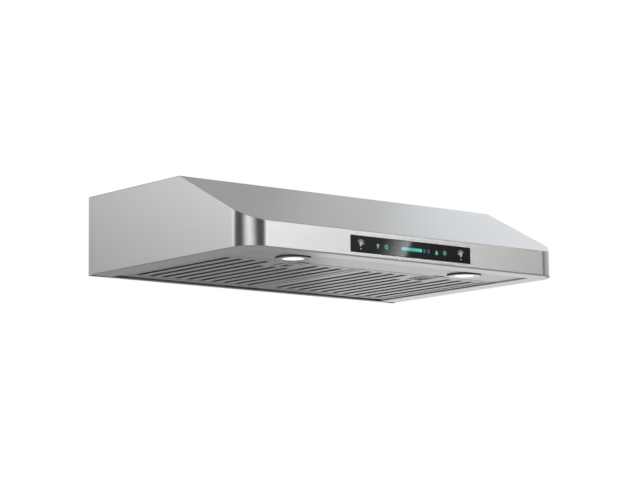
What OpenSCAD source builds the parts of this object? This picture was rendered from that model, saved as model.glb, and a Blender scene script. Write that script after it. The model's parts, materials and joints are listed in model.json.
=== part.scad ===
// Under cabinet range hood: sheet steel body, two baffle filters, twin blower and touch panel.
// Drawn with y = 0 on the wall, y negative towards the cook, and z = 0 under the rim. Every node
// is then moved so that the middle of the four cabinet screws, on the top face, is the origin.

/* [Hood body] */
// Width of the hood
hood_w = 755; // [740:5:920]
// Depth from the wall to the fascia
hood_d = 490; // [475:5:600]
// Height from the rim to the cabinet
hood_h = 150; // [146:1:185]
// Height of the upright fascia
fascia_h = 48; // [46:1:60]
// Depth of the flat top
top_d = 292; // [284:1:300]
// Outside radius of the two upright front corners
corner_r = 46; // [36:1:56]
// Thickness of the stainless sheet
sheet = 1; // [0.8:0.1:1.2]

/* [Underside] */
// Width of the hemmed rim at each side
rim_side_w = 43; // [36:1:52]
// Width of the hemmed rim at the front
rim_front_w = 41; // [36:1:50]
// Width of the rim along the wall
rim_rear_w = 12; // [10:1:14]
// Depth of the light deck between the rim and the filters
deck_d = 90; // [84:1:96]
// Distance of each lamp from the middle
lamp_x = 208; // [200:1:250]
// Radius of the lamp bezel
bezel_r = 33; // [31:1:35]
// Radius of the lamp lens
lens_r = 20.5; // [20:1:24]

/* [Filters] */
// Depth of a filter from face to back
filter_t = 20; // [19:1:24]
// Gap between the two filters
filter_mid_gap = 4; // [3:0.5:8]
// Gap between a filter and the side rim
filter_side_gap = 4.5; // [4:0.5:8]
// Distance from one slot to the next
slot_pitch = 29; // [26:0.5:36]
// Width of a slot
slot_w = 14.5; // [12:0.5:16]
// Radius of the pivot rod
rod_r = 2; // [1.6:0.1:2.4]
// Travel of the latch bolt
latch_travel = 7; // [6:0.5:8]

/* [Blower] */
// Radius of a fan wheel
wheel_r = 80; // [76:1:84]
// Height of the blower floor above the rim
blower_floor = 58; // [50:1:62]
// Number of blades on a wheel
blade_count = 36; // [24:2:42]
// Radius of a motor
motor_r = 48; // [42:1:49]
// Radius of a motor shaft
shaft_r = 4; // [3:0.5:5]

/* [Outlet] */
// Outside radius of the duct collar
collar_r = 75; // [66:1:76]
// Height of the collar above the top face
collar_h = 20; // [16:1:24]

/* [Control panel] */
// Width of the glass
glass_w = 290; // [240:5:350]
// Height of the glass
glass_h = 29.5; // [26:0.5:31]

/* [Hidden] */
$fn = 64;
round_fn = 96;
LEFT = -1;
RIGHT = 1;
SIDES = [LEFT, RIGHT];
eps = 0.01;

// The four cabinet screw holes, and the origin in their middle
screw_x = hood_w / 2 - 37.5;
screw_front_y = -250;
screw_rear_y = -40;
screw_hole_r = 3.2;
origin_y = (screw_front_y + screw_rear_y) / 2;

// Body sheets
rim_t = 2 * sheet;
top_z = hood_h - sheet;
inner_x = hood_w / 2 - sheet;
slope_angle = atan2(hood_h - fascia_h, hood_d - top_d);
opening_x = hood_w / 2 - rim_side_w;
opening_front = -(hood_d - rim_front_w);
rear_flange_w = 16;
roof_hem = 5;

// Light deck
deck_z = rim_t;
deck_rear = opening_front + deck_d;
deck_lap = 12;
deck_flange_h = 5;
lamp_y = (opening_front + deck_rear) / 2;
lamp_hole_r = bezel_r - 5;
bezel_drop = 3;

// Filters
filter_w = (2 * opening_x - 2 * filter_side_gap - filter_mid_gap) / 2;
filter_x = (filter_mid_gap + filter_w) / 2;
filter_front_gap = 3;
filter_front = deck_rear + filter_front_gap;
filter_rear = -(rim_rear_w + 14);
filter_z = deck_z;
filter_top = filter_z + filter_t;
frame_lip_w = 10;
frame_top_lip_w = 6;
face_z = filter_z + sheet + 0.1;
face_edge = sheet + 0.3;
face_land = 24;
face_side_land = 10;
slot_rear = filter_rear - face_land + 5;
slot_front = filter_front + face_land + 1;
slot_half_count = floor((filter_w / 2 - face_side_land - slot_w / 2) / slot_pitch + 0.5);
slot_lip_h = 8;
latch_zone_d = 52;
latch_zone_half = 1.5 * slot_pitch;
latch_x = slot_pitch / 2;
baffle_w = slot_w + 8;
baffle_lip_h = 8;
baffle_z = filter_top - 3;
pivot_back = 6;
pivot_y = filter_rear + pivot_back;
pivot_z = filter_z + 7;
rod_fit = 0.1;
lug_offset = 0.72 * filter_w / 2;
hook_offset = 0.5 * filter_w / 2;

// Pull ring and latch bolt
ring_wire_r = 1.4;
ring_half_w = 15;
ring_len = 33;
ring_bend_r = 5;
ring_y = slot_front + 27;
ring_z = filter_z + ring_wire_r - 1;
ring_pin_r = 1.2;
ring_fit = 0.1;
knuckle_r = 2.3;
knuckle_half_w = 8;
dish_half_w = 21;
dish_depth = 2.6;
dish_front = ring_y - ring_len - 4;
dish_rear = ring_y + 7 + latch_travel;
bolt_w = 22;
bolt_t = 1.5;
bolt_z = face_z + 5.2;
bolt_tip = deck_rear - 6;
bolt_fit = 0.2;
guide_len = 7;
guide_front_y = filter_front + 6;
guide_rear_y = guide_front_y + 26;
spring_r = 3;
spring_wire_r = 0.35;
spring_turns = 6;
spring_len = 14;
notch_w = bolt_w + 6;

// Blower
scroll_gap = 7;
scroll_grow = 41;
scroll_start = 140;
scroll_sweep = 310;
wheel_x = collar_r + wheel_r + scroll_gap + 10;
wheel_y = -150;
wheel_z0 = blower_floor + 10;
wheel_z1 = top_z - 20;
inlet_r = wheel_r - 16;
blade_depth = 14;
hub_cup_r = motor_r + 7;
hub_z = blower_floor + 28;
motor_z0 = hub_z + 9;
mount_t = 3;
mount_half = min(motor_r + 11, (wheel_r + scroll_gap - 1.5) / sqrt(2));
motor_z1 = top_z - mount_t;
shaft_fit = 0.06;
bearing_r = 11;
bearing_h = 7;
box_y = wheel_y + wheel_r + scroll_gap + scroll_grow;
floor_half_w = wheel_x + 128;
floor_front = wheel_y - 118;
floor_rear = box_y + 8;
hanger_w = 20;
hanger_ys = [floor_front + 50, floor_rear - 50];

// Outlet and damper
collar_y = -105;
collar_wall = 1;
collar_flange_r = collar_r + 13;
collar_hole_r = collar_r + 0.5;
collar_screw_r = 2;
collar_screw_pcd_r = collar_r + 7;
damper_z = hood_h + 8;
damper_pin_r = 1.5;
damper_fit = 0.1;
flap_r = collar_r - collar_wall - 1.5;
flap_t = 0.8;
flap_inner = 3.2;
flap_knuckle_r = 2.6;

// Control panel
glass_z = fascia_h / 2 - 0.8;
glass_t = 3;
glass_proud = 0.2;
glass_fit = 0.5;
housing_d = 15;
housing_edge = 6;
housing_wall = 1.5;
sensor_x = glass_w / 2 - 25;

// Electronics, on the light deck between the lamps
box_half_w = 95;
box_wall = 1.5;
box_h = 36;
box_front = opening_front + 4;
box_rear = deck_rear - 8;
box_z = deck_z + sheet;

// Junction box and gland, above the right end of the blower
junction_w = min(58, hood_w / 2 - 12 - floor_half_w);
junction_x = hood_w / 2 - 8 - junction_w / 2;
junction_y = -155;
junction_len = 90;
junction_h = 38;
gland_r = 11;
gland_bore_r = 5;

// Screws through the rear panel, as [x, z], and through the top, as [x, y]
pan_head_r = 4;
pan_head_h = 2;
pan_shank_r = 2;
rear_screws = [for (s = SIDES, z = [0.2, 0.5, 0.8]) [s * (inner_x - 9), z * hood_h]];
hanger_screws = [for (s = SIDES, y = hanger_ys) [s * (floor_half_w + 6), y]];
mount_screws = [for (s = SIDES, a = [45:90:315])
    [s * wheel_x + (mount_half - 6) * sqrt(2) * cos(a), wheel_y + (mount_half - 6) * sqrt(2) * sin(a)]];
top_screws = concat(hanger_screws, mount_screws);

// ---------------------------------------------------------------- shared shapes

module in_place() translate([0, -origin_y, -hood_h]) children();

module mirror_to(side) scale_x(side) children();

module scale_x(side) {
    if (side == RIGHT) children();
    else mirror([1, 0, 0]) children();
}

// A block between two opposite corners
module block(low, high) translate(low) cube(high - low);

module ring(r_out, r_in, h) difference() {
    cylinder(r = r_out, h = h, $fn = round_fn);
    translate([0, 0, -1]) cylinder(r = r_in, h = h + 2, $fn = round_fn);
}

// The hood's outline from above, drawn in by inset at the front and sides
module plan(inset = 0) {
    half = hood_w / 2 - inset;
    corner_x = hood_w / 2 - corner_r;
    corner_y = corner_r - hood_d;
    translate([-half, corner_y]) square([2 * half, -corner_y]);
    translate([-corner_x, inset - hood_d]) square([2 * corner_x, corner_r - inset + eps]);
    for (s = SIDES) translate([s * corner_x, corner_y]) circle(corner_r - inset, $fn = round_fn);
}

// Everything under the roof line, which is drawn in by drop, as a prism across the hood
module under_roof(drop) {
    bend = top_d - drop * tan(slope_angle / 2);
    profile = [[0, -1], [0, hood_h - drop], [-bend, hood_h - drop],
        [-hood_d, fascia_h - drop / cos(slope_angle)], [-hood_d, -1]];
    translate([-hood_w / 2 - 1, 0, 0]) rotate([90, 0, 90]) linear_extrude(hood_w + 2)
        polygon(profile);
}

// Straight leads through the given points, with a square clip round each bend
module wire(points, r) {
    for (i = [0:len(points) - 2]) {
        step = points[i + 1] - points[i];
        length = norm(step);
        translate(points[i])
            rotate([0, acos(step[2] / length), atan2(step[1], step[0])])
                cylinder(r = r, h = length, $fn = 24);
    }
    for (i = [1:len(points) - 2]) translate(points[i]) cube(3 * r, center = true);
}

// A pan head screw on a face at z = 0, with its shank going down
module pan_screw(shank) {
    cylinder(r1 = pan_head_r, r2 = pan_head_r - 1, h = pan_head_h, $fn = 32);
    translate([0, 0, -shank]) cylinder(r = pan_shank_r, h = shank + eps, $fn = 32);
}

// ---------------------------------------------------------------- body sheets

// Sides, rounded corners and fascia in one wrapped sheet, with the hemmed rim under them
module outer_shell() color("lightgray") difference() {
    union() {
        intersection() {
            linear_extrude(hood_h) difference() {
                plan();
                plan(sheet);
            }
            under_roof(sheet);
        }
        linear_extrude(rim_t) difference() {
            plan();
            translate([-opening_x, opening_front]) square([2 * opening_x, -opening_front + 1]);
        }
        for (s = SIDES) mirror_to(s) {
            block([opening_x, deck_rear + 2, 0], [opening_x + sheet, -rim_rear_w, deck_flange_h]);
            block([inner_x - rear_flange_w, -2 * sheet, rim_t], [inner_x + eps, -sheet, top_z]);
        }
    }
    for (s = SIDES) mirror_to(s)
        block([opening_x - 1, -rim_rear_w, -1], [inner_x, 1, rim_t]);
    translate([-glass_w / 2 - glass_fit, -hood_d - 1, glass_z - glass_h / 2 - glass_fit])
        cube([glass_w + 2 * glass_fit, sheet + 2, glass_h + 2 * glass_fit]);
    for (p = rear_screws) translate([p[0], -3 * sheet, p[1]]) rotate([-90, 0, 0])
        cylinder(r = pan_shank_r, h = 3 * sheet, $fn = 32);
}

// Flat top and front slope in one bent sheet, with a short hem behind the fascia
module top_panel() color("silver") difference() {
    union() {
        intersection() {
            linear_extrude(hood_h) plan();
            difference() {
                under_roof(0);
                under_roof(sheet);
            }
        }
        hem_top = fascia_h - sheet / cos(slope_angle);
        block([corner_r - hood_w / 2, sheet - hood_d, hem_top - roof_hem],
            [hood_w / 2 - corner_r, 2 * sheet - hood_d, hem_top + sheet]);
    }
    translate([0, collar_y, top_z - 1]) cylinder(r = collar_hole_r, h = sheet + 2, $fn = round_fn);
    for (x = [-screw_x, screw_x], y = [screw_front_y, screw_rear_y])
        translate([x, y, top_z - 1]) cylinder(r = screw_hole_r, h = sheet + 2, $fn = 32);
    translate([junction_x, junction_y, top_z - 1]) cylinder(r = gland_r + 0.3, h = sheet + 2, $fn = 48);
    for (p = top_screws) translate([p[0], p[1], top_z - 1])
        cylinder(r = pan_shank_r, h = sheet + 2, $fn = 32);
    for (a = [45:90:315]) translate([0, collar_y, top_z - 1]) rotate(a)
        translate([collar_screw_pcd_r, 0, 0]) cylinder(r = collar_screw_r, h = sheet + 2, $fn = 32);
}

// Rear panel, with the rear rim folded forward under the hood
module rear_panel() color("gray") difference() {
    union() {
        block([-inner_x, -sheet, 0], [inner_x, 0, top_z]);
        block([-inner_x, -rim_rear_w, 0], [inner_x, 0, sheet]);
    }
    for (p = rear_screws) translate([p[0], -2, p[1]]) rotate([-90, 0, 0])
        cylinder(r = pan_shank_r, h = 3, $fn = 32);
}

// Plate between the fascia and the filters, which carries the lamps and the electronics
module light_deck() color("darkgray") difference() {
    union() {
        block([-opening_x - deck_lap, opening_front - deck_lap, deck_z],
            [opening_x + deck_lap, deck_rear, deck_z + sheet]);
        block([-opening_x - deck_lap, deck_rear - sheet, deck_z],
            [opening_x + deck_lap, deck_rear, deck_z + deck_flange_h]);
    }
    for (s = SIDES) translate([s * lamp_x, lamp_y, deck_z - 1])
        cylinder(r = lamp_hole_r, h = sheet + 2, $fn = round_fn);
    for (s = SIDES) at_latch(s)
        block([-notch_w / 2, deck_rear - 8, deck_z - 1],
            [notch_w / 2, deck_rear + 1, deck_z + deck_flange_h + 1]);
}

// Rail along the wall, with two open hooks for each filter's pivot rod
module hook_rail() color("dimgray") {
    block([-opening_x, -2 * sheet, pivot_z - 4], [opening_x, -sheet, pivot_z + 14]);
    for (s = SIDES, t = SIDES)
        translate([s * filter_x + t * hook_offset, 0, 0]) hook();
}

module hook() {
    hook_r = pivot_back - 1.2;
    difference() {
        union() {
            translate([-1, pivot_y, pivot_z]) rotate([0, 90, 0]) cylinder(r = hook_r, h = 2, $fn = 48);
            block([-1, pivot_y, pivot_z - 4], [1, -2 * sheet + eps, pivot_z + 2]);
        }
        translate([-2, pivot_y, pivot_z]) rotate([0, 90, 0])
            cylinder(r = rod_r + rod_fit, h = 4, $fn = 48);
        block([-2, pivot_y - rod_r - rod_fit, pivot_z], [2, pivot_y + rod_r + rod_fit, pivot_z + 8]);
    }
}

// Spring steel clips on the deck, one behind each notch, with a nose under the latch bolt
module strike_clips() color("slategray") for (s = SIDES) at_latch(s) {
    foot_z = deck_z + sheet;
    clip_half = notch_w / 2 - 1;
    clip_t = 0.6;
    step_y = deck_rear - 9;
    nose_z = bolt_z - 0.3;
    block([-clip_half, deck_rear - 15, foot_z], [clip_half, deck_rear - 0.5, foot_z + clip_t]);
    block([-clip_half, step_y - clip_t, foot_z], [clip_half, step_y, nose_z]);
    block([-clip_half, step_y - clip_t, nose_z - clip_t], [clip_half, deck_rear - 3.5, nose_z]);
}

// ---------------------------------------------------------------- outlet and damper

// Round spigot for the duct, with its flange on the top face and two stops under the flaps
module duct_collar() color("silver") difference() {
    union() {
        translate([0, collar_y, hood_h]) ring(collar_r, collar_r - collar_wall, collar_h);
        translate([0, collar_y, hood_h]) ring(collar_flange_r, collar_r - collar_wall, sheet);
        for (s = SIDES) translate([0, collar_y + s * (collar_r - 3), damper_z - flap_t / 2 - 1.6])
            cube([10, 5, 3], center = true);
    }
    translate([0, collar_y, damper_z]) rotate([0, 90, 0])
        cylinder(r = damper_pin_r, h = 2 * collar_r + 4, center = true, $fn = 32);
    for (a = [45:90:315]) translate([0, collar_y, hood_h - 1]) rotate(a)
        translate([collar_screw_pcd_r, 0, 0]) cylinder(r = collar_screw_r, h = 3, $fn = 32);
}

module damper_pin() color("dimgray") translate([0, collar_y, damper_z]) rotate([0, 90, 0])
    cylinder(r = damper_pin_r, h = 2 * collar_r - 0.6, center = true, $fn = 32);

// Half disc that lies at the side of the pin given by side, with its knuckles round the pin
module damper_flap(side, knuckles) color("gainsboro")
    translate([0, collar_y, damper_z]) difference() {
        union() {
            intersection() {
                translate([0, 0, -flap_t / 2]) cylinder(r = flap_r, h = flap_t, $fn = round_fn);
                scale_y(side) block([-flap_r, flap_inner, -flap_t], [flap_r, flap_r, flap_t]);
            }
            for (k = knuckles) {
                translate([k[0], 0, 0]) rotate([0, 90, 0])
                    cylinder(r = flap_knuckle_r, h = k[1] - k[0], $fn = 32);
                scale_y(side) block([k[0], 0, -flap_t / 2], [k[1], flap_inner + eps, flap_t / 2]);
            }
        }
        rotate([0, 90, 0]) cylinder(r = damper_pin_r + damper_fit, h = 3 * flap_r, center = true, $fn = 32);
    }

module scale_y(side) {
    if (side > 0) children();
    else mirror([0, 1, 0]) children();
}

module collar_screws() color("gray") for (a = [45:90:315])
    translate([0, collar_y, hood_h + sheet]) rotate(a)
        translate([collar_screw_pcd_r, 0, 0]) pan_screw(2 * sheet);

// ---------------------------------------------------------------- supply inlet

module cable_gland() color("darkslategray") translate([junction_x, junction_y, 0]) difference() {
    union() {
        translate([0, 0, top_z - 10]) cylinder(r = gland_r, h = 10 + sheet + 6, $fn = 48);
        translate([0, 0, hood_h]) cylinder(r = gland_r + 4, h = 5, $fn = 6);
        translate([0, 0, hood_h + 5]) cylinder(r1 = gland_r + 1, r2 = gland_r - 3, h = 11, $fn = 48);
    }
    translate([0, 0, top_z - 11]) cylinder(r = gland_bore_r, h = 40, $fn = 48);
}

module junction_box() color("lightsteelblue") difference() {
    translate([junction_x, junction_y, top_z - junction_h / 2])
        cube([junction_w, junction_len, junction_h], center = true);
    translate([junction_x, junction_y, top_z - junction_h / 2 + sheet])
        cube([junction_w - 2 * sheet, junction_len - 2 * sheet, junction_h], center = true);
    translate([junction_x, junction_y - junction_len / 2 - 1, top_z - 20]) rotate([-90, 0, 0])
        cylinder(r = 3, h = 4, $fn = 32);
}

// ---------------------------------------------------------------- control panel

module control_glass() color("black")
    block([-glass_w / 2, -hood_d - glass_proud, glass_z - glass_h / 2],
        [glass_w / 2, -hood_d - glass_proud + glass_t, glass_z + glass_h / 2]);

module touch_housing() color("dimgray") difference() {
    front = -hood_d + sheet;
    back = front + housing_d;
    half_w = glass_w / 2 + housing_edge;
    half_h = glass_h / 2 + 2;
    glass_back = -hood_d - glass_proud + glass_t;
    block([-half_w, front, glass_z - half_h], [half_w, back, glass_z + half_h]);
    block([-glass_w / 2 - 0.2, front - 1, glass_z - glass_h / 2 - 0.2],
        [glass_w / 2 + 0.2, glass_back, glass_z + glass_h / 2 + 0.2]);
    block([-glass_w / 2 + 3, glass_back - 1, glass_z - glass_h / 2 + 3],
        [glass_w / 2 - 3, back - housing_wall, glass_z + glass_h / 2 - 3]);
    translate([0, back - housing_wall - 1, glass_z]) rotate([-90, 0, 0])
        cylinder(r = 4, h = housing_wall + 2, $fn = 32);
}

board_y = -hood_d + sheet + 7.5;

module touch_board() color("seagreen")
    block([-glass_w / 2 + 3.5, board_y, glass_z - glass_h / 2 + 3.5],
        [glass_w / 2 - 3.5, board_y + 1.6, glass_z + glass_h / 2 - 3.5]);

module gesture_sensors() color("midnightblue") for (s = SIDES)
    translate([s * sensor_x, -hood_d - glass_proud + glass_t, glass_z]) rotate([-90, 0, 0])
        cylinder(r = 4, h = board_y + hood_d + glass_proud - glass_t, $fn = 48);

// ---------------------------------------------------------------- lamps

module at_lamp(side) translate([side * lamp_x, lamp_y, deck_z]) children();

// Turned ring with a flange under the deck, a neck through the hole and a seat for the lens
module light_bezel(side) color("whitesmoke") at_lamp(side) rotate_extrude($fn = round_fn)
    polygon([[lens_r, -bezel_drop + 0.4], [lens_r + 1.2, -bezel_drop], [bezel_r - 2, -bezel_drop],
        [bezel_r - 0.6, -bezel_drop + 0.5], [bezel_r, -bezel_drop + 1.4], [bezel_r, 0], [lamp_hole_r - 0.3, 0],
        [lamp_hole_r - 0.3, 10], [lamp_hole_r - 1.6, 10], [lamp_hole_r - 1.6, 1.6],
        [lens_r + 1.6, 1.6], [lens_r + 1.6, -0.4], [lens_r, -0.4]]);

// Frosted lens that rests on the seat and fills the ring almost to its face
module light_lens(side) color("ivory") at_lamp(side) {
    translate([0, 0, -0.4]) cylinder(r = lens_r + 1.5, h = 1.8, $fn = round_fn);
    translate([0, 0, -bezel_drop + 0.5]) cylinder(r = lens_r - 0.15, h = bezel_drop, $fn = round_fn);
}

// Finned heat sink behind the lens, with the light emitting chips' board in its foot
module light_body(side) color("darkgray") at_lamp(side) {
    translate([0, 0, 1.6]) cylinder(r = lamp_hole_r - 1.8, h = 10, $fn = round_fn);
    for (i = [-3:3]) {
        half = sqrt(pow(lamp_hole_r - 2.5, 2) - pow(7 * i, 2));
        block([7 * i - 1, -half, 11.6 - eps], [7 * i + 1, half, 24]);
    }
}

// ---------------------------------------------------------------- electronics

module electronics_box() color("white") difference() {
    block([-box_half_w, box_front, box_z], [box_half_w, box_rear, box_z + box_h]);
    block([-box_half_w + box_wall, box_front + box_wall, box_z + box_wall],
        [box_half_w - box_wall, box_rear - box_wall, box_z + box_h + 1]);
    for (s = SIDES) translate([s * box_half_w, (box_front + box_rear) / 2, box_z + 25])
        rotate([0, 90, 0]) cylinder(r = 4, h = 6, center = true, $fn = 32);
    for (s = SIDES) translate([s * box_half_w, (box_front + box_rear) / 2 - 8, box_z + 19])
        rotate([0, 90, 0]) cylinder(r = 2.6, h = 6, center = true, $fn = 32);
    translate([box_half_w, (box_front + box_rear) / 2 + 12, box_z + 29])
        rotate([0, 90, 0]) cylinder(r = 3.6, h = 6, center = true, $fn = 32);
    translate([0, box_front, box_z + 25]) rotate([90, 0, 0])
        cylinder(r = 3, h = 6, center = true, $fn = 32);
}

module electronics_lid() color("white")
    block([-box_half_w, box_front, box_z + box_h], [box_half_w, box_rear, box_z + box_h + box_wall]);

board_z = box_z + box_wall + 3;

module main_board() color("seagreen") {
    block([-box_half_w + 5, box_front + 4, board_z], [box_half_w - 5, box_rear - 4, board_z + 1.6]);
    for (s = SIDES, t = [6, box_rear - box_front - 6])
        translate([s * (box_half_w - 9), box_front + t, box_z + box_wall])
            cylinder(r = 2.2, h = 3 + eps, $fn = 32);
    for (i = [0:5]) block([-60 + 9 * i, box_front + 7, board_z + 1.6 - eps],
        [-53 + 9 * i, box_front + 15, board_z + 10]);
}

module run_capacitors() color("whitesmoke") for (s = [0, 1])
    translate([-50 + s * 46, box_rear - 15, board_z + 1.6 + 8]) rotate([0, 90, 0])
        cylinder(r = 8, h = 40, $fn = 48);

module led_driver() color("gold") {
    block([46, box_front + 10, board_z + 1.6], [84, box_rear - 10, board_z + 20]);
    block([52, box_front + 14, board_z + 20 - eps], [78, box_rear - 14, board_z + 24]);
}

// ---------------------------------------------------------------- blower

// Radius of the scroll's inner face at an angle past its start
function scroll_radius(a) = wheel_r + scroll_gap + scroll_grow * a / scroll_sweep;

function scroll_points(extra) = [for (a = [0:10:scroll_sweep])
    (scroll_radius(a) + extra) * [cos(scroll_start + a), sin(scroll_start + a)]];

function reversed(list) = [for (i = [len(list) - 1:-1:0]) list[i]];

function across(list) = [for (p = list) [-p[0], p[1]]];

module lead_hole(side) translate([side * wheel_x, wheel_y - 90, top_z - 9]) rotate([90, 0, 0])
    cylinder(r = 3.5, h = 40, $fn = 32);

// Spiral wall round one wheel, from the tongue to the outlet
module scroll(side) color("lightgray") difference() {
    mirror_to(side) translate([wheel_x, wheel_y, blower_floor + sheet])
        linear_extrude(top_z - blower_floor - sheet)
            polygon(concat(scroll_points(0), reversed(scroll_points(sheet))));
    lead_hole(side);
}

// Wall behind the wheels and the pocket under the duct, which the two scrolls blow into
module outlet_box() color("lightgray") {
    tongue = (scroll_radius(0) + sheet) * [cos(scroll_start), sin(scroll_start)] + [wheel_x, wheel_y];
    pocket_x = wheel_x - scroll_radius(50) - sheet - 2;
    outer = [[tongue[0] - 1.5, tongue[1] + 0.5], [tongue[0] - 9, tongue[1] - 6],
        [pocket_x, tongue[1] - 26], [pocket_x, collar_y - collar_r - 3]];
    inner = [for (p = outer) p + [-sheet, sheet]];
    translate([0, 0, blower_floor + sheet]) linear_extrude(top_z - blower_floor - sheet) {
        translate([-wheel_x, box_y]) square([2 * wheel_x, sheet]);
        polygon(concat(outer, reversed(across(outer)), across(inner), reversed(inner)));
    }
}

// Floor of the blower, with two flared inlets and four hangers up to the top panel
module blower_floor_plate() color("silver") difference() {
    union() {
        block([-floor_half_w, floor_front, blower_floor], [floor_half_w, floor_rear, blower_floor + sheet]);
        for (s = SIDES) translate([s * wheel_x, wheel_y, blower_floor]) rotate_extrude($fn = round_fn)
            polygon([[inlet_r + 5, 0], [inlet_r + 5, sheet], [inlet_r + 1, 4], [inlet_r + 1, 8],
                [inlet_r, 8], [inlet_r, 3.6], [inlet_r + 4, 0]]);
        for (s = SIDES, y = hanger_ys) mirror_to(s) {
            block([floor_half_w - sheet, y - hanger_w / 2, blower_floor],
                [floor_half_w, y + hanger_w / 2, top_z]);
            block([floor_half_w - sheet, y - hanger_w / 2, top_z - sheet],
                [floor_half_w + 12, y + hanger_w / 2, top_z]);
        }
    }
    for (s = SIDES) translate([s * wheel_x, wheel_y, blower_floor - 1])
        cylinder(r = inlet_r + 4, h = sheet + 0.9, $fn = round_fn);
    for (p = hanger_screws) translate([p[0], p[1], top_z - 3])
        cylinder(r = pan_shank_r, h = 4, $fn = 32);
}

// Finger guards under the inlets
module inlet_guards() color("dimgray") for (s = SIDES)
    translate([s * wheel_x, wheel_y, blower_floor - 3.5]) {
        for (r = [20:15:inlet_r + 6]) ring(r + 1.2, r - 1.2, 3.5);
        for (a = [0, 90]) rotate(a + 45) translate([-inlet_r - 8, -1.2, 0.2])
            cube([2 * (inlet_r + 8), 2.4, 2]);
    }

// Fan wheel: a cup that clears the motor, a ring of blades and a ring at the inlet
module impeller(side) color("gainsboro") translate([side * wheel_x, wheel_y, 0]) {
    difference() {
        union() {
            rotate_extrude($fn = round_fn) polygon([[wheel_r, wheel_z1], [hub_cup_r, wheel_z1],
                [hub_cup_r, hub_z + 1.5], [shaft_r + 1, hub_z + 1.5], [shaft_r + 1, hub_z],
                [hub_cup_r + 1.5, hub_z], [hub_cup_r + 1.5, wheel_z1 - 1.5], [wheel_r, wheel_z1 - 1.5]]);
            translate([0, 0, hub_z - 8]) cylinder(r = 3 * shaft_r, h = 10, $fn = 48);
        }
        translate([0, 0, hub_z - 9]) cylinder(r = shaft_r + 0.03, h = 20, $fn = 48);
    }
    translate([0, 0, wheel_z0]) ring(wheel_r, wheel_r - blade_depth + 2, 1.5);
    for (i = [0:blade_count - 1]) rotate(i * 360 / blade_count)
        translate([wheel_r - blade_depth / 2 - 0.6, 0, wheel_z0 + 1.5 - eps]) rotate(25)
            translate([-blade_depth / 2 + 1, -0.6, 0])
                cube([blade_depth - 2, 1.2, wheel_z1 - wheel_z0 - 3 + 2 * eps]);
}

// Motor can with a seat for a bearing at each end of its bore
module motor(side) color("gray") translate([side * wheel_x, wheel_y, 0]) difference() {
    union() {
        translate([0, 0, motor_z0]) cylinder(r = motor_r, h = motor_z1 - motor_z0, $fn = round_fn);
        translate([0, 0, motor_z0 - 3]) cylinder(r = bearing_r + 5, h = 4, $fn = 64);
    }
    translate([0, 0, motor_z0 - 4]) cylinder(r = shaft_r + 1, h = motor_z1, $fn = 48);
    for (z = [motor_z0 - 3, motor_z1 - bearing_h]) translate([0, 0, z])
        cylinder(r = bearing_r, h = bearing_h, $fn = 64);
    for (i = [0:11]) rotate(i * 30) translate([motor_r, 0, motor_z0 + 8])
        cylinder(r = 2, h = motor_z1 - motor_z0 - 20, $fn = 24);
}

module motor_bearings() color("lightsteelblue") for (s = SIDES, z = [motor_z0 - 3, motor_z1 - bearing_h])
    translate([s * wheel_x, wheel_y, z]) ring(bearing_r, shaft_r + shaft_fit, bearing_h);

// Shaft, and the cap nut that holds the wheel on its lower end
module motor_shaft(side) color("silver") translate([side * wheel_x, wheel_y, 0]) {
    translate([0, 0, hub_z - 12]) cylinder(r = shaft_r, h = motor_z1 - hub_z + 11.5, $fn = 48);
    difference() {
        translate([0, 0, hub_z - 15]) cylinder(r = 2.2 * shaft_r, h = 7, $fn = 6);
        translate([0, 0, hub_z - 12]) cylinder(r = shaft_r, h = 7, $fn = 48);
    }
}

module motor_mounts() color("dimgray") for (s = SIDES) translate([s * wheel_x, wheel_y, motor_z1])
    difference() {
        translate([-mount_half, -mount_half, 0]) cube([2 * mount_half, 2 * mount_half, mount_t]);
        for (a = [45:90:315]) rotate(a) translate([(mount_half - 6) * sqrt(2), 0, -1])
            cylinder(r = pan_shank_r, h = mount_t + 2, $fn = 32);
    }

// ---------------------------------------------------------------- wiring and screws

// Leads from the electronics to the motors, the lamps, the touch board and the junction box
module wiring_loom() color("darkorange") {
    lead_z = box_z + 25;
    box_mid = (box_front + box_rear) / 2;
    lead_y = deck_rear + 30;
    for (s = SIDES) wire([[s * (box_half_w - 4), box_mid, lead_z],
        [s * (box_half_w + 22), box_mid, lead_z], [s * (wheel_x - 20), lead_y, lead_z + 20],
        [s * wheel_x, floor_front - 18, top_z - 9],
        [s * wheel_x, wheel_y - motor_r - 0.2, top_z - 9]], 2.2);
    for (s = SIDES) wire([[s * (box_half_w - 4), box_mid - 8, lead_z - 6],
        [s * (lamp_x - 60), lamp_y - 8, lead_z - 6], [s * (lamp_x - 22), lamp_y - 3.5, deck_z + 27],
        [s * (lamp_x - 3.5), lamp_y - 3.5, deck_z + 27],
        [s * (lamp_x - 3.5), lamp_y - 3.5, deck_z + 11.7]], 1.4);
    wire([[0, box_front + 4, lead_z], [0, box_front - 8, lead_z],
        [0, -hood_d + sheet + housing_d + 4, glass_z], [0, board_y + 1.8, glass_z]], 1.6);
    wire([[box_half_w - 4, box_mid + 12, lead_z + 4], [box_half_w + 40, box_mid + 14, lead_z + 4],
        [junction_x, lead_y, lead_z + 10], [junction_x, junction_y - junction_len / 2 - 25, top_z - 20],
        [junction_x, junction_y - junction_len / 2 + 8, top_z - 20]], 2.6);
}

module casing_screws() color("gray") {
    for (p = rear_screws) translate([p[0], -2 * sheet, p[1]]) rotate([90, 0, 0]) pan_screw(2 * sheet);
    for (p = hanger_screws) translate([p[0], p[1], hood_h]) pan_screw(2 * sheet);
    for (p = mount_screws) translate([p[0], p[1], hood_h]) pan_screw(sheet + mount_t);
}

// ---------------------------------------------------------------- filters

// The slots stand in two equal halves, so number 0 is half a pitch to the right of the middle
SLOTS = [-slot_half_count:slot_half_count - 1];

function slot_x(i) = (i + 0.5) * slot_pitch;

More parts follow.
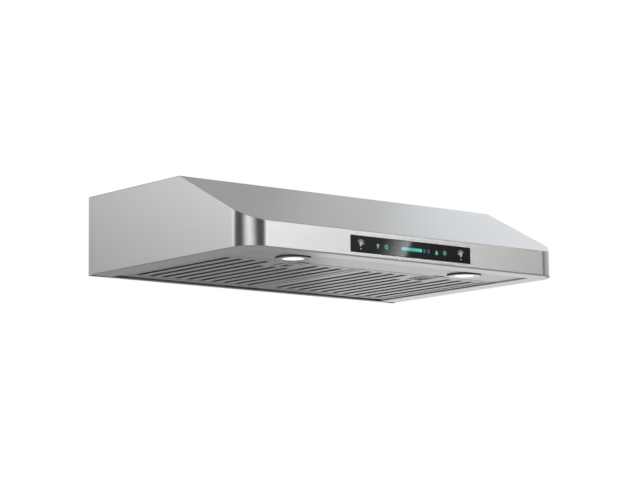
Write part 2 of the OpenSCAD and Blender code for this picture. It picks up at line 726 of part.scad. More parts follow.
function by_latch(i) = abs(slot_x(i) - latch_x) < latch_zone_half;

function slot_start(i) = by_latch(i) ? slot_front + latch_zone_d : slot_front;

module at_filter(side) translate([side * filter_x, 0, 0]) children();

// The latch is half a slot's pitch to the right of the middle, the same on both filters
module at_latch(side) at_filter(side) translate([latch_x, 0, 0]) children();

// Folded channel round the edge, with lips over the face and the back, and lugs for the rod
module filter_frame(side) color("silver") at_filter(side) difference() {
    half = filter_w / 2;
    union() {
        difference() {
            block([-half, filter_front, filter_z], [half, filter_rear, filter_top]);
            block([-half + sheet, filter_front + sheet, filter_z + sheet],
                [half - sheet, filter_rear - sheet, filter_top - sheet]);
            block([-half + frame_lip_w, filter_front + frame_lip_w, filter_z - 1],
                [half - frame_lip_w, filter_rear - frame_lip_w, filter_top]);
            block([-half + frame_top_lip_w, filter_front + frame_top_lip_w, filter_top - 2 * sheet],
                [half - frame_top_lip_w, filter_rear - frame_top_lip_w, filter_top + 1]);
        }
        for (t = SIDES) translate([t * lug_offset - 1, 0, 0]) {
            translate([0, pivot_y, pivot_z]) rotate([0, 90, 0]) cylinder(r = rod_r + 2, h = 2, $fn = 48);
            block([0, filter_rear - eps, pivot_z - 3], [2, pivot_y, pivot_z + 3]);
        }
    }
    for (t = SIDES) translate([t * lug_offset - 2, pivot_y, pivot_z]) rotate([0, 90, 0])
        cylinder(r = rod_r, h = 4, $fn = 48);
    translate([latch_x, 0, 0]) block([-bolt_w / 2 - 1, filter_front - 1, bolt_z - 1],
        [bolt_w / 2 + 1, filter_front + sheet + 1, bolt_z + bolt_t + 1]);
}

// Pressed face: a sheet with slots, a turned-up lip along each slot, and the dish for the ring
module filter_face(side) color("lightgray") at_filter(side) {
    half = filter_w / 2 - face_edge;
    window_half = knuckle_half_w + 1;
    dish_top = face_z + dish_depth + sheet;
    difference() {
        union() {
            block([-half, filter_front + face_edge, face_z], [half, filter_rear - face_edge, face_z + sheet]);
            translate([latch_x, 0, 0]) block([-dish_half_w - sheet, dish_front - sheet, face_z],
                [dish_half_w + sheet, dish_rear + sheet, dish_top]);
        }
        translate([latch_x, 0, 0]) {
            block([-dish_half_w, dish_front, face_z - 1], [dish_half_w, dish_rear, face_z + dish_depth]);
            block([-window_half, ring_y - knuckle_r - 1, face_z - 1],
                [window_half, ring_y + knuckle_r + 1 + latch_travel, dish_top + 1]);
        }
        for (i = SLOTS)
            block([slot_x(i) - slot_w / 2, slot_start(i), face_z - 1],
                [slot_x(i) + slot_w / 2, slot_rear, face_z + sheet + 1]);
    }
    for (i = SLOTS, t = SIDES)
        translate([slot_x(i) + t * (slot_w / 2 + sheet / 2) - sheet / 2, 0, 0])
            block([0, slot_start(i), face_z + sheet - eps], [sheet, slot_rear, face_z + slot_lip_h]);
}

// Back: an inverted channel over each slot, and the wall that closes off the latch
module filter_back(side) color("darkgray") at_filter(side) {
    front = filter_front + face_edge;
    back = filter_rear - face_edge;
    wall_y = slot_front + latch_zone_d - 2;
    reach = slot_pitch * 2 - baffle_w / 2;
    for (i = SLOTS) {
        start = by_latch(i) ? wall_y : front;
        translate([slot_x(i), 0, 0]) {
            block([-baffle_w / 2, start, baffle_z - sheet], [baffle_w / 2, back, baffle_z]);
            for (t = SIDES) translate([t * (baffle_w / 2 - sheet / 2) - sheet / 2, 0, 0])
                block([0, start, baffle_z - baffle_lip_h], [sheet, back, baffle_z - sheet + eps]);
        }
    }
    translate([latch_x, 0, 0])
        block([-reach, wall_y - sheet, face_z + sheet], [reach, wall_y + eps, baffle_z]);
}

module pivot_rod(side) color("gray") at_filter(side) translate([0, pivot_y, pivot_z]) rotate([0, 90, 0])
    cylinder(r = rod_r, h = 2 * lug_offset + 8, center = true, $fn = 48);

// Two riveted bridges that hold the bolt down, one in front of the dish and one on its roof
module latch_guide(side) color("dimgray") at_latch(side) {
    half = bolt_w / 2 + bolt_fit;
    roof_z = bolt_z + bolt_t + bolt_fit;
    for (g = [[guide_front_y, face_z + sheet], [guide_rear_y, face_z + dish_depth + sheet]]) {
        difference() {
            block([-half - sheet, g[0], g[1]], [half + sheet, g[0] + guide_len, roof_z + sheet]);
            block([-half, g[0] - 1, g[1] - 1], [half, g[0] + guide_len + 1, roof_z]);
        }
        for (t = SIDES) scale_x(t) {
            block([half, g[0], g[1]], [half + 8, g[0] + guide_len, g[1] + sheet]);
            translate([half + 5, g[0] + guide_len / 2, g[1] + sheet - eps])
                cylinder(r = 2, h = 1.2, $fn = 32);
        }
    }
    block([-5, guide_rear_y, roof_z + sheet - eps], [5, guide_rear_y + sheet, roof_z + 8]);
}

// Sliding bolt: its tongue goes over the deck's strike clip, and its knuckle carries the ring
module latch_bolt(side) color("silver") at_latch(side) difference() {
    tab_y = guide_rear_y - spring_len - sheet;
    union() {
        block([-bolt_w / 2, bolt_tip, bolt_z], [bolt_w / 2, ring_y + 2, bolt_z + bolt_t]);
        block([-5, tab_y, bolt_z + bolt_t - eps], [5, tab_y + sheet, bolt_z + bolt_t + 8]);
        block([-knuckle_half_w, ring_y - 1.5, ring_z + 1], [knuckle_half_w, ring_y + 1.5, bolt_z + eps]);
        translate([-knuckle_half_w, ring_y, ring_z]) rotate([0, 90, 0])
            cylinder(r = knuckle_r, h = 2 * knuckle_half_w, $fn = 32);
    }
    translate([-knuckle_half_w - 1, ring_y, ring_z]) rotate([0, 90, 0])
        cylinder(r = ring_pin_r + ring_fit, h = 2 * knuckle_half_w + 2, $fn = 32);
}

// Coil between the bolt's tab and the rear guide's stop, wound as a true helix
module latch_spring(side) color("slategray") at_latch(side) {
    rings = 14 * spring_turns;
    sides = 6;
    start = [0, guide_rear_y - spring_len + spring_wire_r, bolt_z + bolt_t + 4.2];
    rise = (spring_len - 2 * spring_wire_r) / rings;
    points = [for (i = [0:rings], k = [0:sides - 1]) let (
            turn = i * 360 / 14,
            reach = spring_r + spring_wire_r * cos(k * 360 / sides))
        start + [reach * cos(turn), i * rise + spring_wire_r * sin(k * 360 / sides), reach * sin(turn)]];
    walls = [for (i = [0:rings - 1], k = [0:sides - 1]) let (n = (k + 1) % sides)
        [i * sides + k, i * sides + n, (i + 1) * sides + n, (i + 1) * sides + k]];
    ends = [[for (k = [sides - 1:-1:0]) k], [for (k = [0:sides - 1]) rings * sides + k]];
    polyhedron(points, concat(walls, ends));
}

// Wire bail: two legs, a cross bar with round bends, and two ends turned into the knuckle
module pull_ring(side) color("whitesmoke") at_latch(side) translate([0, ring_y, ring_z]) {
    for (t = SIDES) scale_x(t) {
        translate([knuckle_half_w - 5, 0, 0]) rotate([0, 90, 0])
            cylinder(r = ring_pin_r, h = ring_half_w - knuckle_half_w + 5, $fn = 32);
        translate([ring_half_w, 0, 0]) rotate([90, 0, 0])
            cylinder(r = ring_wire_r, h = ring_len - ring_bend_r, $fn = 32);
        translate([ring_half_w, 0, 0]) sphere(ring_wire_r, $fn = 32);
        translate([ring_half_w - ring_bend_r, -ring_len + ring_bend_r, 0]) rotate([0, 0, -90])
            rotate_extrude(angle = 90, $fn = 64) translate([ring_bend_r, 0]) circle(ring_wire_r, $fn = 32);
    }
    translate([-ring_half_w + ring_bend_r, -ring_len, 0]) rotate([0, 90, 0])
        cylinder(r = ring_wire_r, h = 2 * (ring_half_w - ring_bend_r), $fn = 32);
}

// ---------------------------------------------------------------- nodes

FRONT_KNUCKLES = [[-0.8, -0.35], [0.05, 0.4]];
REAR_KNUCKLES = [[-0.33, 0.03], [0.42, 0.78]];

function along_pin(shares) = [for (k = shares) flap_r * k];

in_place() {
    outer_shell();
    top_panel();
    rear_panel();
    light_deck();
    hook_rail();
    strike_clips();
    duct_collar();
    damper_pin();
    cable_gland();
    junction_box();
    control_glass();
    touch_housing();
    touch_board();
    gesture_sensors();
    light_bezel(LEFT);  // light_bezel_left
    light_bezel(RIGHT);  // light_bezel_right
    light_lens(LEFT);  // light_lens_left
    light_lens(RIGHT);  // light_lens_right
    light_body(LEFT);  // light_body_left
    light_body(RIGHT);  // light_body_right
    electronics_box();
    electronics_lid();
    main_board();
    run_capacitors();
    led_driver();
    blower_floor_plate();
    outlet_box();
    scroll(LEFT);  // scroll_left
    scroll(RIGHT);  // scroll_right
    inlet_guards();
    motor(LEFT);  // motor_left
    motor(RIGHT);  // motor_right
    motor_mounts();
    motor_bearings();
    wiring_loom();
    casing_screws();
    collar_screws();
    damper_flap(-1, along_pin(FRONT_KNUCKLES));  // damper_flap_front
    damper_flap(1, along_pin(REAR_KNUCKLES));  // damper_flap_rear
    impeller(LEFT);  // impeller_left
    impeller(RIGHT);  // impeller_right
    motor_shaft(LEFT);  // motor_shaft_left
    motor_shaft(RIGHT);  // motor_shaft_right
    filter_frame(LEFT);  // filter_frame_left
    filter_frame(RIGHT);  // filter_frame_right
    filter_face(LEFT);  // filter_face_left
    filter_face(RIGHT);  // filter_face_right
    filter_back(LEFT);  // filter_back_left
    filter_back(RIGHT);  // filter_back_right
    latch_guide(LEFT);  // latch_guide_left
    latch_guide(RIGHT);  // latch_guide_right
    pivot_rod(LEFT);  // pivot_rod_left
    pivot_rod(RIGHT);  // pivot_rod_right
    latch_bolt(LEFT);  // latch_bolt_left
    latch_bolt(RIGHT);  // latch_bolt_right
    latch_spring(LEFT);  // latch_spring_left
    latch_spring(RIGHT);  // latch_spring_right
    pull_ring(LEFT);  // pull_ring_left
    pull_ring(RIGHT);  // pull_ring_right
}
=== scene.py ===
import json
import math

import bmesh
import bpy
import numpy as np
from mathutils import Matrix, Vector

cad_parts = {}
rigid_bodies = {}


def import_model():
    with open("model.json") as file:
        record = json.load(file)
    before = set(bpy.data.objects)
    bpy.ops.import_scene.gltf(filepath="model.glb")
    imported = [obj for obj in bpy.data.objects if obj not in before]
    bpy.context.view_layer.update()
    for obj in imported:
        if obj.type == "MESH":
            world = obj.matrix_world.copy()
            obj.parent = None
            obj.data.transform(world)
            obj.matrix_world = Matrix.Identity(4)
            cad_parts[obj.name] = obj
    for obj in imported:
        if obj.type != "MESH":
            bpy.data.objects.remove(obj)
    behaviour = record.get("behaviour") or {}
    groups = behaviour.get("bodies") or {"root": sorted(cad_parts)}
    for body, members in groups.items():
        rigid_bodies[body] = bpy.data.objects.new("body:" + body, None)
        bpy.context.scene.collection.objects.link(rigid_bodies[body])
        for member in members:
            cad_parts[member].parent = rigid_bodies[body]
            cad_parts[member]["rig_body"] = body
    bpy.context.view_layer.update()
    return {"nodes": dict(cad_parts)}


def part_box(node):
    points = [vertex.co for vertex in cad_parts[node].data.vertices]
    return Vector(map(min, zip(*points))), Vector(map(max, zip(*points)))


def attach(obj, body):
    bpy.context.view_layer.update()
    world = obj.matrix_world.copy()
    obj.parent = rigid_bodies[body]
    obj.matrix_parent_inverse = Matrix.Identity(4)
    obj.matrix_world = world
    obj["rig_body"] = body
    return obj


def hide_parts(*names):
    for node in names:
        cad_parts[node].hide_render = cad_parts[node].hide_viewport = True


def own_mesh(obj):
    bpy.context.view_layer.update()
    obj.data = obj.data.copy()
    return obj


# An under cabinet range hood in brushed stainless steel, seen a little from below: the wrapped
# body and its roof, two tilting baffle filters, two lamps, a black glass touch panel, and the
# twin blower with its duct collar.
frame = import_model()

# ---------------------------------------------------------------- wrapped body
# Sides, round corners and fascia are one sheet of stainless steel, brushed along its length and
# folded inwards at the foot over a 3 mm tool, which leaves the bright line along the lower edge.
# It is laser cut, so its other edges are only broken with a file.


class Signal:
    """An output socket in a finish. Maths on it adds Math nodes and gives the next signal."""

    def __init__(self, finish, socket):
        self.finish = finish
        self.socket = socket

    def maths(self, operation, *values, clamp=False):
        settings = {"operation": operation, "use_clamp": clamp}
        inputs = dict(enumerate((self,) + values))
        return self.finish.node("ShaderNodeMath", settings, inputs)

    def __add__(self, other):
        return self.maths("ADD", other)

    def __sub__(self, other):
        return self.maths("SUBTRACT", other)

    def __mul__(self, other):
        return self.maths("MULTIPLY", other)

    def __truediv__(self, other):
        return self.maths("DIVIDE", other)

    def __radd__(self, other):
        return self + other

    def __rmul__(self, other):
        return self * other

    def __rsub__(self, other):
        return self * -1 + other

    def __abs__(self):
        return self.maths("ABSOLUTE")

    def limited(self):
        """Held between 0 and 1."""
        return self.maths("ADD", 0.0, clamp=True)


class Finish:
    """A finish for one kind of surface: a node tree that holds a Principled shader."""

    def __init__(self, name, tree=None, **constants):
        if tree is None:
            self.material = bpy.data.materials.new(name)
            self.material.use_nodes = True
            self.tree = self.material.node_tree
            self.shader = self.tree.nodes["Principled BSDF"]
            self.feed(self.shader, {k.replace("_", " "): v for k, v in constants.items()})
        else:
            self.tree = tree

    def feed(self, node, inputs):
        """Sets a node's sockets: a signal is linked, and anything else is a constant."""
        for key, value in inputs.items():
            if isinstance(value, Signal):
                self.tree.links.new(value.socket, node.inputs[key])
            else:
                node.inputs[key].default_value = value

    def node(self, kind, settings, inputs, output=0):
        """Adds a node, with its settings first and then its sockets, and gives an output."""
        made = self.tree.nodes.new(kind)
        for key, value in settings.items():
            if key == "stops":
                ramp = made.color_ramp.elements
                while len(ramp) < len(value):
                    ramp.new(1.0)
                for element, (place, shade) in zip(ramp, value):
                    element.position = place
                    element.color = (*shade, 1.0)
            else:
                setattr(made, key, value)
        self.feed(made, inputs)
        return Signal(self, made.outputs[output])

    def place(self, stretch=(1.0, 1.0, 1.0)):
        """The point on the piece, in metres in the frame, with each axis stretched."""
        point = self.node("ShaderNodeTexCoord", {}, {}, "Object")
        return self.node("ShaderNodeMapping", {}, {"Vector": point, "Scale": stretch})

    def noise(self, stretch, scale, detail=3.0):
        """Cloudy noise from 0 to 1, with so many clouds a metre, drawn out along an axis."""
        inputs = {"Vector": self.place(stretch), "Scale": scale, "Detail": detail}
        return self.node("ShaderNodeTexNoise", {}, inputs, "Fac")

    def blend(self, share, low, high):
        """From one colour to another, by a signal from 0 to 1."""
        settings = {"data_type": "RGBA"}
        inputs = {0: share, 6: (*low, 1.0), 7: (*high, 1.0)}
        return self.node("ShaderNodeMix", settings, inputs, 2)

    def surface(self, **inputs):
        """Feeds the Principled shader, and gives the material."""
        self.feed(self.shader, {k.replace("_", " "): v for k, v in inputs.items()})
        return self.material


def brushed_steel(name, dark, light, along, rough=(0.2, 0.3), grit=0.05):
    """Stainless steel brushed along an axis: fine scratches that vary quickly across it and
    slowly along it, over wide and faint clouds left by the rolling mill."""
    finish = Finish(name, Metallic=1.0)
    lengthways = [1.0 if axis == along else 260.0 for axis in range(3)]
    scratches = finish.noise(lengthways, 4.0, 2.0)
    bands = finish.noise([0.6 if axis == along else 9.0 for axis in range(3)], 3.0)
    clouds = finish.noise((1.0, 1.0, 1.0), 5.0)
    tone = (0.45 * scratches + 0.25 * bands + 0.3 * clouds).limited()
    low, high = rough
    roughness = low + (high - low) * (0.6 * scratches + 0.4 * clouds)
    relief = {"Strength": grit, "Distance": 0.0002, "Height": scratches}
    return finish.surface(
        Base_Color=finish.blend(tone, dark, light),
        Roughness=roughness,
        Normal=finish.node("ShaderNodeBump", {}, relief),
    )


def folded(node, piece, soft, bends=None, cuts=(), segments=3):
    """A copy of a CAD node with its triangles joined, coplanar ones made one face, and its
    edges rounded. All get the radius soft, then bends may change the radii, from both ends'
    points, and one below zero makes the shading run smoothly over the edge. Each cut splits
    the faces where an axis has that value, so a bend can stop there."""
    source = frame["nodes"][node]
    shape = bmesh.new()
    shape.from_mesh(source.data)
    bmesh.ops.remove_doubles(shape, verts=shape.verts, dist=2e-6)
    flat = math.radians(0.3)
    bmesh.ops.dissolve_limit(shape, angle_limit=flat, verts=shape.verts, edges=shape.edges)
    for axis, value in cuts:
        normal = np.eye(3)[axis]
        geometry = shape.verts[:] + shape.edges[:] + shape.faces[:]
        bmesh.ops.bisect_plane(shape, geom=geometry, plane_co=value * normal, plane_no=normal)
    mesh = bpy.data.meshes.new(piece)
    shape.to_mesh(mesh)
    shape.free()
    points = np.empty(len(mesh.vertices) * 3)
    mesh.vertices.foreach_get("co", points)
    ends = np.empty(len(mesh.edges) * 2, int)
    mesh.edges.foreach_get("vertices", ends)
    mesh.shade_smooth()
    mesh.set_sharp_from_angle(angle=math.radians(24))
    sharp = np.zeros(len(mesh.edges), bool)
    mesh.attributes["sharp_edge"].data.foreach_get("value", sharp)
    radii = np.full(len(sharp), soft)
    if bends is not None:
        bends(points.reshape(-1, 3)[ends.reshape(-1, 2)], radii)
    sharp &= radii >= 0
    mesh.attributes["sharp_edge"].data.foreach_set("value", sharp)
    edge_weight = mesh.attributes.new("bevel_weight_edge", "FLOAT", "EDGE")
    edge_weight.data.foreach_set("value", (radii / radii.max() * sharp).astype(np.float32))
    made = bpy.data.objects.new(piece, mesh)
    bpy.context.scene.collection.objects.link(made)
    bevel = made.modifiers.new("edges", "BEVEL")
    bevel.limit_method = "WEIGHT"
    bevel.width = radii.max()
    bevel.segments = segments
    bevel.use_clamp_overlap = False
    even = made.modifiers.new("even shading", "WEIGHTED_NORMAL")
    even.keep_sharp = True
    return made


def fit(piece, node, finish):
    """Gives a piece its finish, and puts it in the place of a CAD node, on the same body."""
    piece.data.materials.clear()
    piece.data.materials.append(finish)
    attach(piece, frame["nodes"][node]["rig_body"])
    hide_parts(node)
    return piece


hood_low, hood_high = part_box("outer_shell")
fascia_top, crease_y, corner_r = hood_low.z + 0.048, hood_high.y - 0.292, 0.046
rim_front, rim_side, rim_rear = 0.041, 0.043, 0.012


def body_bends(pairs, radii):
    """The fold round the foot, smooth upright corners, and a plain seam with the roof."""
    middle = pairs.mean(1)
    low = np.abs(pairs[:, :, 2] - hood_low.z).max(1) < 1e-5
    outside = np.abs(middle[:, 0]) > hood_high.x - rim_side + 0.005
    outside |= middle[:, 1] < hood_low.y + rim_front - 0.005
    radii[low & outside & (middle[:, 1] < hood_high.y - rim_rear - 0.001)] = 0.0025
    radii[pairs[:, :, 2].min(1) > fascia_top - 0.0015] = 0.0
    in_corner = np.abs(pairs[:, :, 0]).min(1) > hood_high.x - corner_r - 1e-4
    in_corner &= pairs[:, :, 1].max(1) < hood_low.y + corner_r + 1e-4
    radii[in_corner & (np.ptp(pairs[:, :, 2], axis=1) > 0.02)] = -1.0


body_steel = brushed_steel("body_steel", (0.66, 0.66, 0.65), (0.76, 0.76, 0.75), 0)
foot_end = (1, hood_high.y - rim_rear - 0.002)
shell = folded("outer_shell", "body_wrap", 0.0003, body_bends, [foot_end], 4)
fit(shell, "outer_shell", body_steel)

# ---------------------------------------------------------------- roof
# One sheet makes the flat top and the front slope, with a wide bend between them. Its front edge
# is rounded over where it meets the fascia.


def roof_bends(pairs, radii):
    """The outline's upper edge and the bend between top and slope."""
    x, y, z = np.moveaxis(pairs, 2, 0)
    past_x = np.maximum(np.abs(x) - hood_high.x + corner_r, 0)
    past_y = np.maximum(hood_low.y + corner_r - y, 0)
    outline = (np.hypot(past_x, past_y) > corner_r - 1e-4).all(1)
    slope = fascia_top / (hood_low.y - crease_y)
    upper = (np.abs(z - np.minimum(0, (y - crease_y) * slope)) < 1e-5).all(1)
    bend = (np.abs(y - crease_y) < 1e-5).all(1)
    radii[:] = 0.0
    radii[outline & upper] = 0.0009
    radii[bend & upper] = 0.004


roof_steel = brushed_steel("roof_steel", (0.66, 0.67, 0.68), (0.75, 0.76, 0.78), 0)
roof = folded("top_panel", "roof_sheet", 0.0, roof_bends)
fit(roof, "top_panel", roof_steel)

# ---------------------------------------------------------------- hidden sheet metal
# The back, the blower casing and the brackets are zinc coated steel, whose crystals show as
# faint patches a few millimetres wide.


def zinc_coat(name, dark, light):
    """Zinc coated steel: each crystal has its own shade and its own roughness."""
    finish = Finish(name, Metallic=1.0)
    inputs = {"Vector": finish.place(), "Scale": 130.0}
    crystals = finish.node("ShaderNodeTexVoronoi", {}, inputs, "Color")
    shade = finish.node("ShaderNodeSeparateColor", {}, {"Color": crystals}, "Red")
    handled = finish.noise((1.0, 1.0, 1.0), 7.0)
    return finish.surface(
        Base_Color=finish.blend((0.6 * shade + 0.4 * handled).limited(), dark, light),
        Roughness=0.32 + 0.16 * shade,
    )


sheet_zinc = zinc_coat("sheet_zinc", (0.42, 0.44, 0.45), (0.60, 0.62, 0.63))
rear = folded("rear_panel", "back_sheet", 0.0002)
fit(rear, "rear_panel", sheet_zinc)
collar = folded("duct_collar", "duct_spigot", 0.0003)
fit(collar, "duct_collar", sheet_zinc)
for node in (
    "hook_rail",
    "junction_box",
    "blower_floor_plate",
    "outlet_box",
    "scroll_left",
    "scroll_right",
    "motor_mounts",
):
    frame["nodes"][node].data.materials.clear()
    frame["nodes"][node].data.materials.append(sheet_zinc)

# ---------------------------------------------------------------- light deck and lamps
# The deck is the same brushed sheet as the body. Each lamp is a chrome plated ring pushed up
# through it, with painted shade for the shadow gap round its edge, and a frosted lens that glows
# from the chips behind it, less towards its edge.

deck_steel = brushed_steel("deck_steel", (0.60, 0.60, 0.60), (0.70, 0.70, 0.70), 0, (0.24, 0.34))
deck = folded("light_deck", "lamp_deck", 0.0003)
fit(deck, "light_deck", deck_steel)


def from_point(finish, point):
    """The distance from a point, in metres."""
    settings = {"operation": "DISTANCE"}
    place = finish.node("ShaderNodeTexCoord", {}, {}, "Object")
    return finish.node("ShaderNodeVectorMath", settings, {0: place, 1: point}, "Value")


cast_fins = Finish("cast_fins", Metallic=1.0)
casting = cast_fins.noise((1.0, 1.0, 1.0), 400.0)
cast_fins.surface(
    Base_Color=cast_fins.blend(casting, (0.42, 0.43, 0.44), (0.58, 0.59, 0.60)),
    Roughness=0.45 + 0.2 * casting,
)
for side in ("left", "right"):
    low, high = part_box(f"light_bezel_{side}")
    centre = ((low.x + high.x) / 2, (low.y + high.y) / 2, low.z)
    chrome = Finish(f"lamp_chrome_{side}", Metallic=1.0)
    polish = chrome.noise((1.0, 1.0, 1.0), 60.0)
    # The ring's outer edge is darkened by radius: painted shade for the shadow gap where it meets
    # the deck.
    shadow_gap_r, shadow_gap_blend = (high.x - low.x) / 2 - 0.0012, 0.0006
    gap_shade_share = ((from_point(chrome, centre) - shadow_gap_r) / shadow_gap_blend).limited()
    chrome.surface(
        Base_Color=chrome.blend(gap_shade_share, (0.60, 0.61, 0.62), (0.10, 0.10, 0.10)),
        Roughness=0.12 + 0.1 * polish,
    )
    ring = folded(f"light_bezel_{side}", f"lamp_ring_{side}", 0.0002)
    fit(ring, f"light_bezel_{side}", chrome.material)
    low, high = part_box(f"light_lens_{side}")
    glow = Finish(f"lamp_glow_{side}", Roughness=0.35, Emission_Strength=1.3)
    from_middle = from_point(glow, (*centre[:2], low.z))
    rim_share = (from_middle / ((high.x - low.x) / 2)).maths("POWER", 3.0).limited()
    glow.surface(
        Base_Color=(0.9, 0.9, 0.88, 1.0),
        Emission_Color=glow.blend(rim_share, (1.0, 0.98, 0.94), (0.15, 0.15, 0.14)),
    )
    lens = folded(f"light_lens_{side}", f"lamp_glass_{side}", 0.0002)
    fit(lens, f"light_lens_{side}", glow.material)
    body = frame["nodes"][f"light_body_{side}"].data.materials
    body.clear()
    body.append(cast_fins.material)

# ---------------------------------------------------------------- baffle filters
# Each filter is a folded frame round a pressed and slotted face, with inverted channels behind
# the slots. All of it is satin stainless steel, and the slot edges are turned up and round. The
# channels behind the slots are coloured darker, as painted shade for the recess they sit in.

satin_dark, satin_light = (0.56, 0.56, 0.56), (0.68, 0.68, 0.67)
filter_steel = brushed_steel("filter_steel", satin_dark, satin_light, 1, (0.26, 0.38))
# A darker copy of the filter steel: painted shade for the channels in the recess behind the slots.
recess_shade_dark, recess_shade_light = (0.30, 0.30, 0.30), (0.42, 0.42, 0.41)
baffle_steel = brushed_steel("baffle_steel", recess_shade_dark, recess_shade_light, 1, (0.35, 0.5))
strip_dark, strip_light = (0.40, 0.40, 0.41), (0.52, 0.52, 0.52)
spring_steel = brushed_steel("spring_steel", strip_dark, strip_light, 1, (0.28, 0.4))
wire_chrome = Finish("wire_chrome", Metallic=1.0)
drawn = wire_chrome.noise((1.0, 1.0, 1.0), 300.0)
wire_chrome.surface(
    Base_Color=wire_chrome.blend(drawn, (0.90, 0.90, 0.90), (0.97, 0.97, 0.96)),
    Roughness=0.2 + 0.15 * drawn,
)
for side in ("left", "right"):
    for part, finish, round_edge in (
        ("filter_frame", filter_steel, 0.0004),
        ("filter_face", filter_steel, 0.0004),
        ("filter_back", baffle_steel, 0.0003),
    ):
        made = folded(f"{part}_{side}", f"baffle_{part[7:]}_{side}", round_edge)
        fit(made, f"{part}_{side}", finish)
    for part, finish, slot in (
        ("latch_guide", spring_steel, "spring_steel"),
        ("latch_bolt", spring_steel, "spring_steel"),
        ("pivot_rod", wire_chrome.material, "screw_steel"),
        ("pull_ring", wire_chrome.material, "bright_wire"),
    ):
        made = folded(f"{part}_{side}", f"{part}_metal_{side}", 0.0002)
        fit(made, f"{part}_{side}", finish)
clips = folded("strike_clips", "clip_springs", 0.0002)
fit(clips, "strike_clips", spring_steel)


def coil(middle, axis_length, coil_r, wire_r, turns):
    """A closed tube round a helix: the path's angle grows with the first parameter while it
    moves along Y, and the second goes round the wire, on the path's own normals."""
    across, round_steps = turns * 28 + 1, 10
    t = np.linspace(0, 1, across)[:, None]
    spin = 2 * np.pi * turns * t
    outward = np.stack([np.cos(spin), 0 * spin, np.sin(spin)], -1)
    path = middle + coil_r * outward
    path[..., 1] += axis_length * (t - 0.5)
    lean = np.array([0.0, 1.0, 0.0])
    around = np.linspace(0, 2 * np.pi, round_steps, endpoint=False)[None, :, None]
    points = path + wire_r * (np.cos(around) * outward + np.sin(around) * lean)
    grid = np.arange(across * round_steps).reshape(across, round_steps)
    turned = np.roll(grid, -1, 1)
    walls = np.stack([grid[:-1], grid[1:], turned[1:], turned[:-1]], -1).reshape(-1, 4)
    mesh = bpy.data.meshes.new("coil")
    faces = walls.tolist() + [grid[0].tolist(), grid[-1][::-1].tolist()]
    mesh.from_pydata(points.reshape(-1, 3), [], faces)
    mesh.shade_smooth()
    return mesh


for side in ("left", "right"):
    low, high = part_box(f"latch_spring_{side}")
    wire_r, turns, bolt_travel = 0.00035, 6, 0.007
    middle = np.array((low + high) / 2)
    coil_r = (high.x - low.x) / 2 - wire_r
    mesh = coil(middle, high.y - low.y - 2 * wire_r, coil_r, wire_r, turns)
    spring = bpy.data.objects.new(f"latch_coil_{side}", mesh)
    bpy.context.scene.collection.objects.link(spring)
    fit(spring, f"latch_spring_{side}", wire_chrome.material)
    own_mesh(spring)

# ---------------------------------------------------------------- touch panel
# A strip of black glass sits just proud of the fascia. Its signs are printed on the back and lit
# through it: a hand sensor at each end, and between them lamp, power, speed bar, drop and clock.

glass = Finish("panel_glass", Specular_IOR_Level=0.2)
glass_low, glass_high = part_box("control_glass")
middle = (glass_low + glass_high) / 2
point = glass.node("ShaderNodeTexCoord", {}, {}, "Object")
split = {"Vector": point}
across = glass.node("ShaderNodeSeparateXYZ", {}, split, "X") * 1000 - middle.x * 1000
upward = glass.node("ShaderNodeSeparateXYZ", {}, split, "Z") * 1000 - middle.z * 1000
depth = glass.node("ShaderNodeSeparateXYZ", {}, split, "Y") * 1000 - glass_low.y * 1000
on_front = (0.4 - depth).limited().maths("GREATER_THAN", 0.2)


def ink(distance, soft=0.35):
    """1 inside an outline and 0 outside it, from the distance past the outline."""
    return (0.5 - distance / soft).limited()


def stroke(x, z, start, end, half):
    """The distance past a bar with round ends, from one point to another."""
    run = (end[0] - start[0], end[1] - start[1])
    long = run[0] ** 2 + run[1] ** 2
    along = (((x - start[0]) * run[0] + (z - start[1]) * run[1]) / long).limited()
    gap_x = x - start[0] - along * run[0]
    gap_z = z - start[1] - along * run[1]
    return (gap_x * gap_x + gap_z * gap_z).maths("SQRT") - half


def disc(x, z, centre, radius):
    """The distance past a circle."""
    gap_x, gap_z = x - centre[0], z - centre[1]
    return (gap_x * gap_x + gap_z * gap_z).maths("SQRT") - radius


def hoop(x, z, centre, radius, half):
    """The distance past a ring's line."""
    return abs(disc(x, z, centre, radius)) - half


def slab(x, z, centre, half_x, half_z):
    """The distance past a rectangle."""
    return (abs(x - centre[0]) - half_x).maths("MAXIMUM", abs(z - centre[1]) - half_z)


def merged(first, *others):
    """The nearest of several outlines."""
    for other in others:
        first = first.maths("MINIMUM", other)
    return first


hand_x, lamp_x, power_x, less_x, drop_x, clock_x = 121.0, -81.0, -61.0, -41.0, 61.0, 81.0
bar_half, bar_half_h = 24.5, 2.7
ends = (abs(across) - hand_x) * 0.8
fingers = [((-1.6, 2.2), (-4.4, 6.4)), ((-0.4, 2.6), (-1.3, 8.6)), ((0.9, 2.6), (2.1, 8.4))]
fingers += [((2.0, 2.0), (5.2, 6.0)), ((-1.8, 0.4), (-6.0, 1.6))]
hand = merged(
    disc(ends, upward, (0.2, 0.8), 2.7),
    stroke(ends, upward, (0.2, 0.0), (0.8, -2.6), 1.5),
    disc(ends, upward, (0.2, -8.6), 1.2),
    *[stroke(ends, upward, start, end, 0.62) for start, end in fingers],
)
bulb = merged(
    disc(across, upward, (lamp_x, 1.0), 2.6),
    slab(across, upward, (lamp_x, -2.6), 1.2, 1.5),
)
power = merged(
    hoop(across, upward, (power_x, -0.4), 3.3, 0.55).maths(
        "MAXIMUM", 1.1 - slab(across, upward, (power_x, 3.0), 0.0, 0.0)
    ),
    stroke(across, upward, (power_x, 0.6), (power_x, 3.6), 0.5),
)
less = stroke(across, upward, (less_x - 2.0, 0.0), (less_x + 2.0, 0.0), 0.45)
drop = merged(
    disc(across, upward, (drop_x, -1.2), 2.5),
    (abs(across - drop_x) * 0.8 + (upward + 1.0) * 0.55) - 2.4,
).maths("MAXIMUM", upward * -1 - 4.4).maths("MAXIMUM", abs(across - drop_x) - 2.7)
